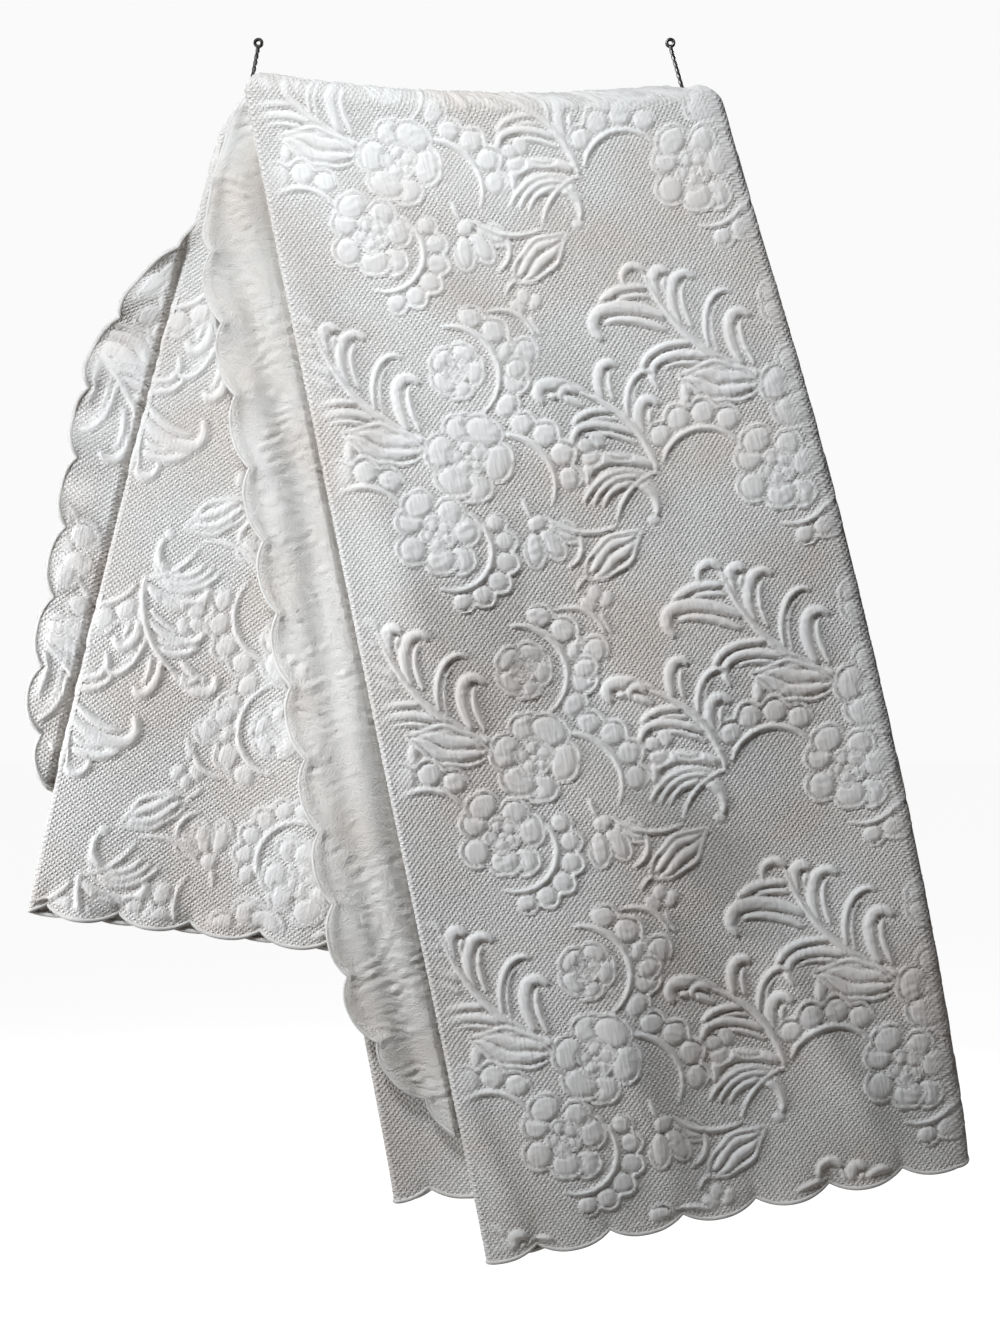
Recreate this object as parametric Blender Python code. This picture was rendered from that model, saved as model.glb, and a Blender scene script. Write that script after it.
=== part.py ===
"""An embossed coverlet, folded lengthwise into five layers and hung askew over a sagging rod
that two twisted wires hold up.

Units are metres and +Z is up. X runs along the rod, and the viewer's side is -Y.
The origin is halfway between the two eyes that the hanger hangs by.
"""

import math

import bmesh
import bpy
from mathutils import Vector
from mathutils.geometry import delaunay_2d_cdt

# ---------------------------------------------------------------- driving dimensions

CLOTH_WIDTH = 2.60
CLOTH_LENGTH = 2.20
CLOTH_THICKNESS = 0.0024
CORNER_RADIUS = 0.27
SCALLOP_PITCH = 0.080
SCALLOP_DEPTH = 0.013
SCALLOP_POWER = 2.4
SCALLOP_STEPS = 5

LAYER_PITCH = 0.0045
LAYER_SPREAD = 0.35
REST_GAP = 0.0005

ROD_RADIUS = 0.005
ROD_HALF_LENGTH = 0.236
ROD_LEFT_Z = -0.058
ROD_RIGHT_Z = -0.072
ROD_SAG = 0.016
ROD_STEPS = 16
ROD_HOLE_RADIUS = 0.0028
ROD_HOLE_DEPTH = 0.012
ROD_HOLE_SIDES = 12

WIRE_RADIUS = 0.0025
WIRE_FLAT = 0.30
WIRE_TWIST_PITCH = 0.014
WIRE_FOOT_X = 0.2415
WIRE_BEND_RADIUS = 0.004
WIRE_TONGUE = 0.014
WIRE_TONGUE_PITCH = 0.003
WIRE_TONGUE_STEPS = 3
WIRE_BEND_STEPS = 6
WIRE_STEPS_A_TWIST = 8
WIRE_CORNERS = 10
EYE_RADIUS = 0.0039
EYE_WIRE_RADIUS = 0.0020
EYE_LEFT_X = -0.231
EYE_RIGHT_X = 0.222
EYE_CORNERS = 16

# Where each fold or free edge of the cloth runs. "at" is its place across the flat cloth, and
# "ridge" its X on the rod. Its straight run goes from "top", at the height of the rod, to the hem at
# x and z, and bulges to the side by "bow". It leaves the rod for that run over the length "fan",
# which starts at "hold" from the top of the ridge.
EDGES = [
    dict(name="free edge", at=0.00, ridge=-0.231,
         front=dict(top=-0.327, x=-0.097, z=-1.265, bow=0.0, hold=0.009, fan=0.250),
         back=dict(top=-0.378, x=-0.522, z=-0.943, bow=0.0, hold=0.100, fan=0.270)),
    dict(name="inner right fold", at=0.60, ridge=0.215,
         front=dict(top=0.252, x=0.520, z=-1.210, bow=0.022, hold=0.009, fan=0.018),
         back=dict(top=0.242, x=0.085, z=-1.028, bow=0.0, hold=0.009, fan=0.018)),
    dict(name="inner left fold", at=1.19, ridge=-0.231,
         front=dict(top=-0.305, x=-0.079, z=-1.270, bow=0.0, hold=0.009, fan=0.250),
         back=dict(top=-0.262, x=-0.482, z=-0.956, bow=-0.010, hold=0.009, fan=0.060)),
    dict(name="outer right fold", at=1.80, ridge=0.225,
         front=dict(top=0.275, x=0.545, z=-1.225, bow=0.024, hold=0.009, fan=0.018),
         back=dict(top=0.266, x=0.109, z=-1.035, bow=0.0, hold=0.009, fan=0.018)),
    dict(name="outer left fold", at=2.33, ridge=-0.231,
         front=dict(top=-0.243, x=0.022, z=-1.330, bow=0.0, hold=0.009, fan=0.018),
         back=dict(top=-0.235, x=-0.388, z=-0.912, bow=0.0, hold=0.009, fan=0.018)),
    dict(name="hidden edge", at=CLOTH_WIDTH, ridge=0.030,
         front=dict(top=0.030, x=0.279, z=-1.285, bow=0.0, hold=0.009, fan=0.018),
         back=dict(top=0.030, x=-0.134, z=-0.969, bow=0.0, hold=0.009, fan=0.018)),
]

# The panels between those edges, in their order across the cloth. "layer" counts from the rod
# outwards, and "face" is 1 where the embossed side looks away from the rod.
PANELS = [
    dict(name="margin panel", layer=3, face=-1, columns=7),
    dict(name="middle panel", layer=2, face=1, columns=5),
    dict(name="rod panel", layer=1, face=-1, columns=7),
    dict(name="show panel", layer=5, face=1, columns=8),
    dict(name="tucked panel", layer=4, face=-1, columns=3),
]

FOLD_STEPS = 2
BEND_STEPS = 3
FAN_LEAN = 0.6
SHOULDER_LIFT = 0.009
SHOULDER_FADE = 0.12
SHOULDER_RUN = 0.02
ROW_STEPS = [0.042, 0.062, 0.085, 0.115, 0.150, 0.200]
ROW_PITCH = 0.095
EDGE_CLEARANCE = 0.016
COLUMN_CLEARANCE = 2 * EDGE_CLEARANCE
MERGE_DISTANCE = 1e-6

# Slow waves of the hanging cloth: "tall" and "wide" are waves a metre, "depth" is how far they swell.
WAVES = [
    dict(wide=1.7, tall=0.5, phase=0.6, depth=0.0070),
    dict(wide=3.1, tall=-0.9, phase=2.1, depth=0.0035),
]
WAVE_START = 0.10
WAVE_REACH = 0.60
SWING = 0.012
MARGIN_WIDTH = 0.11
MARGIN_CURL = 0.007

# The bend over the rod is measured along a middle layer.
FIRST_LAYER = ROD_RADIUS + REST_GAP + CLOTH_THICKNESS / 2
BEND_RADIUS = FIRST_LAYER + 2 * LAYER_PITCH
QUARTER_BEND = BEND_RADIUS * math.pi / 2


# ---------------------------------------------------------------- small helpers


def mix(a, b, t):
    """The value that lies at share t between a and b."""
    return a + (b - a) * t


def ease(value):
    """0 below 0, 1 above 1, and a smooth rise between them."""
    t = min(max(value, 0.0), 1.0)
    return t * t * (3 - 2 * t)


def material(name, colour, roughness, metallic):
    """A Principled material of one colour."""
    made = bpy.data.materials.new(name)
    made.use_nodes = True
    shader = made.node_tree.nodes["Principled BSDF"]
    shader.inputs["Base Color"].default_value = (*colour, 1.0)
    shader.inputs["Roughness"].default_value = roughness
    shader.inputs["Metallic"].default_value = metallic
    return made


def add_object(name, mesh, finish):
    """A named object of this mesh, with its material."""
    made = bpy.data.objects.new(name, mesh)
    mesh.materials.clear()
    mesh.materials.append(finish)
    bpy.context.scene.collection.objects.link(made)
    return made


def mesh_of(shape, name):
    """The bmesh as a mesh, with its faces pointing out."""
    bmesh.ops.recalc_face_normals(shape, faces=shape.faces)
    mesh = bpy.data.meshes.new(name)
    shape.to_mesh(mesh)
    shape.free()
    return mesh


# ---------------------------------------------------------------- rod


def rod_z(x):
    """Height of the rod's axis, which sags between its ends."""
    share = x / ROD_HALF_LENGTH
    level = mix(ROD_LEFT_Z, ROD_RIGHT_Z, (share + 1) / 2)
    return level - ROD_SAG * (1 - min(share * share, 1.0))


def make_rod(finish):
    """The sagging rod, with a blind hole in each end for the tongue of a wire."""
    curve = bpy.data.curves.new("rod_line", "CURVE")
    curve.dimensions = "3D"
    curve.bevel_depth = ROD_RADIUS
    curve.bevel_resolution = 2
    curve.use_fill_caps = True
    line = curve.splines.new("POLY")
    line.points.add(ROD_STEPS)
    for step, point in enumerate(line.points):
        x = mix(-ROD_HALF_LENGTH, ROD_HALF_LENGTH, step / ROD_STEPS)
        point.co = (x, 0.0, rod_z(x), 1.0)
    tube = bpy.data.objects.new("rod_tube", curve)
    bpy.context.scene.collection.objects.link(tube)
    bpy.context.view_layer.update()
    mesh = bpy.data.meshes.new_from_object(tube.evaluated_get(bpy.context.evaluated_depsgraph_get()))
    bpy.data.objects.remove(tube)
    rod = add_object("hanger_rod", mesh, finish)
    for side in (-1, 1):
        drill = bmesh.new()
        bmesh.ops.create_cone(drill, cap_ends=True, segments=ROD_HOLE_SIDES, radius1=ROD_HOLE_RADIUS,
                              radius2=ROD_HOLE_RADIUS, depth=2 * ROD_HOLE_DEPTH)
        cutter = add_object(f"drill_{side}", mesh_of(drill, f"drill_{side}"), finish)
        cutter.rotation_euler.y = math.pi / 2
        cutter.location = (side * ROD_HALF_LENGTH, 0.0, rod_z(ROD_HALF_LENGTH * side))
        cutter.hide_render = True
        cutter.display_type = "WIRE"
        cut = rod.modifiers.new(f"hole_{side}", "BOOLEAN")
        cut.operation = "DIFFERENCE"
        cut.object = cutter
    return rod


# ---------------------------------------------------------------- wires


def wire_path(side, eye_x):
    """Points of a wire's middle line: from its tongue in the rod, round a bend, up to its eye."""
    foot = Vector((side * WIRE_FOOT_X, 0.0, rod_z(side * ROD_HALF_LENGTH)))
    up = (Vector((eye_x, 0.0, -EYE_RADIUS)) - foot).normalized()
    along = Vector((-side, 0.0, 0.0))
    points = [foot + along * (WIRE_TONGUE - step * WIRE_TONGUE_PITCH) for step in range(WIRE_TONGUE_STEPS)]
    bend_start = foot + along * WIRE_BEND_RADIUS
    bend_end = foot + up * WIRE_BEND_RADIUS
    for step in range(WIRE_BEND_STEPS + 1):
        t = step / WIRE_BEND_STEPS
        points.append(bend_start * (1 - t) ** 2 + foot * 2 * t * (1 - t) + bend_end * t * t)
    length = (Vector((eye_x, 0.0, -EYE_RADIUS)) - bend_end).length
    steps = round(length / WIRE_TWIST_PITCH * WIRE_STEPS_A_TWIST)
    for step in range(1, steps + 1):
        points.append(bend_end + up * (length * step / steps))
    return points


def twisted_wire(points):
    """Two strands twisted together, swept along a path that lies in the XZ plane."""
    shape = bmesh.new()
    across = Vector((0.0, 1.0, 0.0))
    travelled = 0.0
    rings = []
    for number, point in enumerate(points):
        before = points[max(number - 1, 0)]
        after = points[min(number + 1, len(points) - 1)]
        travelled += (point - before).length
        side = (after - before).normalized().cross(across)
        turn = 2 * math.pi * travelled / WIRE_TWIST_PITCH
        ring = []
        for corner in range(WIRE_CORNERS):
            angle = 2 * math.pi * corner / WIRE_CORNERS
            reach = WIRE_RADIUS * (1 - WIRE_FLAT * math.sin(angle - turn) ** 2)
            offset = side * math.cos(angle) + across * math.sin(angle)
            ring.append(shape.verts.new(point + offset * reach))
        rings.append(ring)
    for low, high in zip(rings, rings[1:]):
        for corner in range(WIRE_CORNERS):
            following = (corner + 1) % WIRE_CORNERS
            shape.faces.new((low[corner], low[following], high[following], high[corner]))
    shape.faces.new(rings[0])
    shape.faces.new(rings[-1])
    return shape


def make_wire(name, side, eye_x, finish):
    """A twisted wire with a tongue at its foot and an eye at its head."""
    wire = add_object(name, mesh_of(twisted_wire(wire_path(side, eye_x)), name), finish)
    curve = bpy.data.curves.new(f"{name}_eye", "CURVE")
    curve.dimensions = "3D"
    curve.bevel_depth = EYE_WIRE_RADIUS
    curve.bevel_resolution = 1
    circle = curve.splines.new("POLY")
    circle.points.add(EYE_CORNERS - 1)
    circle.use_cyclic_u = True
    for step, point in enumerate(circle.points):
        angle = 2 * math.pi * step / EYE_CORNERS
        point.co = (EYE_RADIUS * math.cos(angle), 0.0, EYE_RADIUS * math.sin(angle), 1.0)
    eye = bpy.data.objects.new(f"{name}_eye", curve)
    eye.location.x = eye_x
    bpy.context.scene.collection.objects.link(eye)
    bpy.context.view_layer.update()
    ring = bpy.data.meshes.new_from_object(eye.evaluated_get(bpy.context.evaluated_depsgraph_get()))
    bpy.data.objects.remove(eye)
    ring_object = add_object(f"{name}_ring", ring, finish)
    ring_object.location.x = eye_x
    ring_object.hide_render = True
    ring_object.display_type = "WIRE"
    join = wire.modifiers.new("eye", "BOOLEAN")
    join.operation = "UNION"
    join.object = ring_object
    return wire


# ---------------------------------------------------------------- folded section of the cloth


def layer_depth(number):
    """Distance of a panel's middle surface from the rod's axis."""
    return FIRST_LAYER + (number - 1) * LAYER_PITCH


def fold_radius(number):
    """Radius of the fold at the far side of this panel."""
    return abs(layer_depth(PANELS[number]["layer"]) - layer_depth(PANELS[number + 1]["layer"])) / 2


def panel_at(u):
    """Number of the panel at this place across the cloth."""
    for number in range(len(PANELS)):
        if u <= EDGES[number + 1]["at"]:
            return number
    return len(PANELS) - 1


def section(u, w, spread):
    """Where the point at u across the cloth, w proud of its middle, lies in the folded section.

    Returns its panel, its share of the way across that panel, and its depth from the rod's axis.
    spread is how much wider than on the rod the layers stand apart here.
    """
    number = panel_at(u)
    panel = PANELS[number]
    start, end = EDGES[number]["at"], EDGES[number + 1]["at"]
    own = layer_depth(panel["layer"])
    depth = own * spread + panel["face"] * w
    share = (u - start) / (end - start)
    for neighbour, distance in ((number - 1, u - start), (number + 1, end - u)):
        if not 0 <= neighbour < len(PANELS):
            continue
        other = layer_depth(PANELS[neighbour]["layer"])
        radius = abs(own - other) / 2
        if distance >= radius * math.pi / 2:
            continue
        away = 1 if own > other else -1
        outside = panel["face"] * away
        angle = distance / radius
        reach = radius * spread + outside * w
        depth = (own + other) / 2 * spread + away * reach * math.sin(angle)
        inset = (radius * spread - reach * math.cos(angle)) / (end - start)
        share = inset if neighbour < number else 1 - inset
    return number, share, depth


def edge_line(edge, y):
    """X of an edge at the distance y from the ridge, and its share of the way down to the hem."""
    half = edge["front"] if y > 0 else edge["back"]
    length = front_length(edge) if y > 0 else CLOTH_LENGTH - front_length(edge)
    t = max((abs(y) - QUARTER_BEND) / (length - QUARTER_BEND), 0.0)
    run = mix(half["top"], half["x"], t) + half["bow"] * 4 * t * (1 - t)
    fanned = max((abs(y) - half["hold"]) / half["fan"], 0.0)
    return mix(edge["ridge"], run, ease(fanned ** FAN_LEAN)), t


def front_length(edge):
    """How much of the cloth hangs in front of the ridge at this edge."""
    front = edge["front"]
    drop = rod_z(edge["ridge"]) - front["z"]
    return QUARTER_BEND + math.hypot(drop, front["x"] - front["top"])


def wave(x, z, fall):
    """How far the hanging cloth swells away from its plane."""
    grown = ease((fall - WAVE_START) / WAVE_REACH)
    swell = sum(
        row["depth"] * math.sin(2 * math.pi * (row["wide"] * x + row["tall"] * z) + row["phase"])
        for row in WAVES
    )
    return swell * grown


def ridge_length(u):
    """The place along the cloth that lies on top of the rod."""
    number = panel_at(u)
    first, second = EDGES[number], EDGES[number + 1]
    share = (u - first["at"]) / (second["at"] - first["at"])
    return mix(front_length(first), front_length(second), share)


def drape(u, v, w):
    """A point of the flat cloth, u across, v along from its front hem and w proud, where it hangs."""
    y = ridge_length(u) - v
    fall = max(abs(y) - QUARTER_BEND, 0.0)
    spread = 1 + LAYER_SPREAD * ease(fall / WAVE_REACH)
    number, share, depth = section(u, w, spread)
    left, right = EDGES[number], EDGES[number + 1]
    left_x, left_t = edge_line(left, y)
    right_x, right_t = edge_line(right, y)
    x = mix(left_x, right_x, share)
    shoulder = SHOULDER_LIFT * ease((x - ROD_HALF_LENGTH) / SHOULDER_RUN) * (1 - ease(fall / SHOULDER_FADE))
    side = 1 if y > 0 else -1
    if fall == 0.0:
        angle = y / BEND_RADIUS
        return Vector((x, -depth * math.sin(angle), rod_z(x) + depth * math.cos(angle) + shoulder))
    half = "front" if y > 0 else "back"
    top = mix(rod_z(x), rod_z(mix(left["ridge"], right["ridge"], share)), ease(fall / WAVE_START))
    drop = mix(left_t * (left[half]["z"] - top), right_t * (right[half]["z"] - top), share)
    out = depth + SWING * ease(fall / WAVE_REACH) * side
    curl = MARGIN_CURL * max(1 - u / MARGIN_WIDTH, 0.0) ** 2 * ease(fall / WAVE_START)
    return Vector((x, -side * out - curl + wave(x, top + drop, fall), top + drop + shoulder))


# ---------------------------------------------------------------- flat cut of the cloth


def outline_at(travelled):
    """A point and the outward direction on the rounded rectangle that the scallops' tips touch."""
    wide, tall, r = CLOTH_WIDTH, CLOTH_LENGTH, CORNER_RADIUS
    corner = math.pi * r / 2
    sides = [
        (wide - 2 * r, Vector((r, 0)), Vector((1, 0)), Vector((wide - r, r))),
        (tall - 2 * r, Vector((wide, r)), Vector((0, 1)), Vector((wide - r, tall - r))),
        (wide - 2 * r, Vector((wide - r, tall)), Vector((-1, 0)), Vector((r, tall - r))),
        (tall - 2 * r, Vector((0, tall - r)), Vector((0, -1)), Vector((r, r))),
    ]
    for length, start, along, centre in sides:
        outward = Vector((along.y, -along.x))
        if travelled <= length:
            return start + along * travelled, outward
        travelled -= length
        if travelled <= corner:
            turn = travelled / r
            direction = outward * math.cos(turn) + along * math.sin(turn)
            return centre + direction * r, direction
        travelled -= corner
    return Vector((r, 0)), Vector((0, -1))


def scalloped_outline():
    """The cut edge of the cloth as points, from lobe to lobe all the way round."""
    r = CORNER_RADIUS
    perimeter = 2 * (CLOTH_WIDTH + CLOTH_LENGTH - 4 * r) + 2 * math.pi * r
    lobes = round(perimeter / SCALLOP_PITCH)
    points = []
    for lobe in range(lobes):
        for step in range(SCALLOP_STEPS):
            t = step / SCALLOP_STEPS
            point, outward = outline_at(perimeter * (lobe + t) / lobes)
            points.append(point - outward * SCALLOP_DEPTH * abs(2 * t - 1) ** SCALLOP_POWER)
    return points


def column_places():
    """Where the columns of points stand across the cloth: close together round each fold."""
    places = []
    for number, panel in enumerate(PANELS):
        start, end = EDGES[number]["at"], EDGES[number + 1]["at"]
        if number > 0:
            quarter = fold_radius(number - 1) * math.pi / 2
            places += [start + quarter * step / FOLD_STEPS for step in range(FOLD_STEPS)]
            start += quarter
        if number < len(PANELS) - 1:
            quarter = fold_radius(number) * math.pi / 2
            finish = end - quarter
        else:
            quarter = 0.0
            finish = end
        places += [mix(start, finish, step / panel["columns"]) for step in range(panel["columns"] + 1)]
        if quarter:
            places += [finish + quarter * step / FOLD_STEPS for step in range(1, FOLD_STEPS)]
    return [place for place in places if COLUMN_CLEARANCE < place < CLOTH_WIDTH - COLUMN_CLEARANCE]


def row_distances(length):
    """Distances from the ridge at which a column has points, in one half of the cloth."""
    rows = [QUARTER_BEND * step / BEND_STEPS for step in range(1, BEND_STEPS + 1)] + ROW_STEPS
    hanging = length - rows[-1]
    count = round(hanging / ROW_PITCH)
    return rows + [rows[-1] + hanging * step / count for step in range(1, count)]


def crossings(points, u):
    """The lowest and highest place where the outline crosses the column at u, and on which side of it."""
    found = []
    for number, point in enumerate(points):
        following = points[(number + 1) % len(points)]
        if (point.x - u) * (following.x - u) < 0:
            share = (u - point.x) / (following.x - point.x)
            found.append((mix(point.y, following.y, share), number))
    return min(found), max(found)


def flat_cloth():
    """The flat cut as a bmesh: points on its scallops and in columns, joined into triangles."""
    outline = scalloped_outline()
    columns = column_places()
    meets = {}
    for column, u in enumerate(columns):
        for which, (v, after) in enumerate(crossings(outline, u)):
            meets.setdefault(after, []).append((abs(u - outline[after].x), u, v, (column, which)))
    places, rim_number = [], {}
    for number, point in enumerate(outline):
        places.append(point)
        for _, u, v, key in sorted(meets.get(number, [])):
            rim_number[key] = len(places)
            places.append(Vector((u, v)))
    edges = [(number, (number + 1) % len(places)) for number in range(len(places))]
    row_before = {}
    for column, u in enumerate(columns):
        before, last = rim_number[column, 0], rim_number[column, 1]
        low, high = places[before].y + EDGE_CLEARANCE, places[last].y - EDGE_CLEARANCE
        ridge = ridge_length(u)
        rows = {0: ridge}
        rows.update({-row: ridge - d for row, d in enumerate(row_distances(ridge), 1)})
        rows.update({row: ridge + d for row, d in enumerate(row_distances(CLOTH_LENGTH - ridge), 1)})
        row_here = {}
        for row in sorted(row for row in rows if low < rows[row] < high):
            row_here[row] = len(places)
            edges.append((before, len(places)))
            before = len(places)
            places.append(Vector((u, rows[row])))
        edges.append((before, last))
        edges += [(row_before[row], row_here[row]) for row in row_here if row in row_before]
        row_before = row_here
    verts, _, faces, *_ = delaunay_2d_cdt(places, edges, [], 1, MERGE_DISTANCE)
    shape = bmesh.new()
    made = [shape.verts.new((p.x, p.y, -CLOTH_THICKNESS / 2)) for p in verts]
    for face in faces:
        shape.faces.new([made[number] for number in face])
    return shape


def make_coverlet(finish):
    """The cloth: its flat cut given a thickness, and every point of it moved to where it hangs."""
    shape = flat_cloth()
    bmesh.ops.recalc_face_normals(shape, faces=shape.faces)
    raised = bmesh.ops.extrude_face_region(shape, geom=list(shape.faces), use_keep_orig=True)
    for part in raised["geom"]:
        if isinstance(part, bmesh.types.BMVert):
            part.co.z = CLOTH_THICKNESS / 2
    for vert in shape.verts:
        vert.co = drape(*vert.co)
    return add_object("coverlet", mesh_of(shape, "coverlet"), finish)


# ---------------------------------------------------------------- the whole thing


def main():
    for old in list(bpy.data.objects):
        bpy.data.objects.remove(old)
    cotton = material("ivory_cotton", (0.80, 0.78, 0.74), 0.85, 0.0)
    steel = material("dark_steel_wire", (0.16, 0.16, 0.16), 0.45, 1.0)
    make_coverlet(cotton)
    make_rod(steel)
    make_wire("hanger_wire_left", -1, EYE_LEFT_X, steel)
    make_wire("hanger_wire_right", 1, EYE_RIGHT_X, steel)


main()
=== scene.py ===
# %% [markdown]
# An embossed coverlet, folded lengthwise into five layers and hung askew over a sagging rod. The CAD
# frame holds the plain folded sheet, the rod and its two wires. This script makes the visible cloth: the
# same drape on fine grids, with the raised motifs of the double weave, its lattice ground, the margin's
# wrong side and the corded, scalloped hem.

# %% Load the frame
import math

import bmesh
import bpy
import numpy as np
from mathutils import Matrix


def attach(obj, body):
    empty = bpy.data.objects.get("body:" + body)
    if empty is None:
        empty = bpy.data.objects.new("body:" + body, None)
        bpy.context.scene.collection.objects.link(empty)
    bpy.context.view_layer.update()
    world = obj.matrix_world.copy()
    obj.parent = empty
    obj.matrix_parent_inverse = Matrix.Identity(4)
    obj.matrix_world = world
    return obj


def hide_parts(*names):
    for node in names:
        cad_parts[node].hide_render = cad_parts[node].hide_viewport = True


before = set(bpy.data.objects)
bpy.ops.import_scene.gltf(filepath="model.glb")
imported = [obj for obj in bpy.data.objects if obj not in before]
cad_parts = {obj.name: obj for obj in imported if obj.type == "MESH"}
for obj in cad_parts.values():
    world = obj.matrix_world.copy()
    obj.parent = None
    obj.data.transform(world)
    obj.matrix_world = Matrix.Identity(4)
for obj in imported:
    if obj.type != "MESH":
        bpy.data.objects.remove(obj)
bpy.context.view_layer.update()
print("nodes:", ", ".join(sorted(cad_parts)))

# %% [markdown]
# The cloth hangs as the CAD solid does, so its cut, layers and fold lines have the same sizes, in metres.
# u runs across the flat cloth, and v from its front hem to its back hem. A fold is given by its X on the
# rod and the straight run from there to the hem.

# %% Sizes of the cloth and its folds
CLOTH_WIDTH = 2.60
CLOTH_LENGTH = 2.20
CORNER_RADIUS = 0.27
SCALLOP_PITCH = 0.080
SCALLOP_DEPTH = 0.013
SCALLOP_POWER = 2.4
LAYER_PITCH = 0.0045
LAYER_SPREAD = 0.35
FIRST_LAYER = 0.0067
BEND_RADIUS = FIRST_LAYER + 2 * LAYER_PITCH
QUARTER_BEND = BEND_RADIUS * math.pi / 2

ROD_HALF_LENGTH = 0.236
ROD_LEFT_Z, ROD_RIGHT_Z, ROD_SAG = -0.058, -0.072, 0.016

# Columns: place across the cloth, X on the rod, then for the front and for the back the run's top X,
# hem X, hem Z, sideways bow, where it starts to leave the rod's X, and over what length.
FOLD_LINES = np.array([
    # at    ridge   top     x       z       bow    hold   fan    top     x       z       bow    hold   fan
    [0.00, -0.231, -0.327, -0.097, -1.265, 0.000, 0.009, 0.250, -0.378, -0.522, -0.943, 0.000, 0.100, 0.270],
    [0.60,  0.215,  0.252,  0.520, -1.210, 0.022, 0.009, 0.018,  0.242,  0.085, -1.028, 0.000, 0.009, 0.018],
    [1.19, -0.231, -0.305, -0.079, -1.270, 0.000, 0.009, 0.250, -0.262, -0.482, -0.956, -0.010, 0.009, 0.060],
    [1.80,  0.225,  0.275,  0.545, -1.225, 0.024, 0.009, 0.018,  0.266,  0.109, -1.035, 0.000, 0.009, 0.018],
    [2.33, -0.231, -0.243,  0.022, -1.330, 0.000, 0.009, 0.018, -0.235, -0.388, -0.912, 0.000, 0.009, 0.018],
    [CLOTH_WIDTH,
            0.030,  0.030,  0.279, -1.285, 0.000, 0.009, 0.018,  0.030, -0.134, -0.969, 0.000, 0.009, 0.018],
])
AT, RIDGE = FOLD_LINES[:, 0], FOLD_LINES[:, 1]
FRONT, BACK = FOLD_LINES[:, 2:8], FOLD_LINES[:, 8:14]
TOP, HEM_X, HEM_Z, BOW, HOLD, FAN = range(6)

# The panels between the fold lines: the layer each is in, counted from the rod, and 1 where its
# embossed side looks away from the rod.
LAYERS = np.array([3, 2, 1, 5, 4])
DEPTHS = FIRST_LAYER + (LAYERS - 1) * LAYER_PITCH
FACES = np.array([-1, 1, -1, 1, -1])

# How the runs fan out from the rod, the lift at the rod's ends, the slow waves (turns a metre across and
# down, phase, depth) and the curl of the margin's free edge.
FAN_LEAN = 0.6
SHOULDER_LIFT, SHOULDER_FADE, SHOULDER_RUN = 0.009, 0.12, 0.02
WAVES = [(1.7, 0.5, 0.6, 0.0070), (3.1, -0.9, 2.1, 0.0035)]
WAVE_START, WAVE_REACH, SWING = 0.10, 0.60, 0.012
MARGIN_WIDTH, MARGIN_CURL = 0.11, 0.007

# %% [markdown]
# Three functions are used all through. Steps start and stop softly, as everything in cloth does.

# %% Small helpers
def mix(a, b, t):
    """The value that lies at share t between a and b."""
    return a + (b - a) * t


def ease(value):
    """0 below 0, 1 above 1, and a smooth rise between them."""
    t = np.clip(value, 0.0, 1.0)
    return t * t * (3 - 2 * t)


def rod_z(x):
    """Height of the rod's axis, which sags between its ends."""
    share = x / ROD_HALF_LENGTH
    return mix(ROD_LEFT_Z, ROD_RIGHT_Z, (share + 1) / 2) - ROD_SAG * (1 - np.minimum(share * share, 1.0))


# %% [markdown]
# Draping is a formula, because five layers that must not touch are hard for a cloth solver. Each point
# keeps its panel and its distance from the ridge. Over the rod it goes round an arc, and below that it
# hangs between its panel's two folds. Near a fold it turns round a half circle into the next panel.

# %% Drape the flat cloth
FRONT_LENGTH = QUARTER_BEND + np.hypot(rod_z(RIDGE) - FRONT[:, HEM_Z], FRONT[:, HEM_X] - FRONT[:, TOP])
SHOW_FOLD, LAYER_FOLD = 4, 2
LONGEST_RUN, RUN_STEPS = 1.30, 400


def panel_of(u):
    """Number of the panel at each place across the cloth."""
    return np.searchsorted(AT[1:-1], u, side="left")


def ridge_length(u):
    """The place along the cloth that lies on top of the rod."""
    n = panel_of(u)
    return mix(FRONT_LENGTH[n], FRONT_LENGTH[n + 1], (u - AT[n]) / (AT[n + 1] - AT[n]))


def section(u, w, spread):
    """Panel, share across it and depth from the rod's axis, w proud of the cloth's middle."""
    n = panel_of(u)
    width = AT[n + 1] - AT[n]
    own = DEPTHS[n]
    depth = own * spread + FACES[n] * w
    share = (u - AT[n]) / width
    for step in (-1, 1):
        other_panel = np.clip(n + step, 0, len(LAYERS) - 1)
        distance = u - AT[n] if step < 0 else AT[n + 1] - u
        other = DEPTHS[other_panel]
        radius = np.maximum(np.abs(own - other) / 2, 1e-9)
        near = (other_panel != n) & (distance < radius * math.pi / 2)
        away = np.where(own > other, 1, -1)
        angle = distance / radius
        bulge = radius * spread + FACES[n] * away * w
        depth = np.where(near, (own + other) / 2 * spread + away * bulge * np.sin(angle), depth)
        inset = (radius * spread - bulge * np.cos(angle)) / width
        share = np.where(near, inset if step < 0 else 1 - inset, share)
    return n, share, depth


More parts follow.
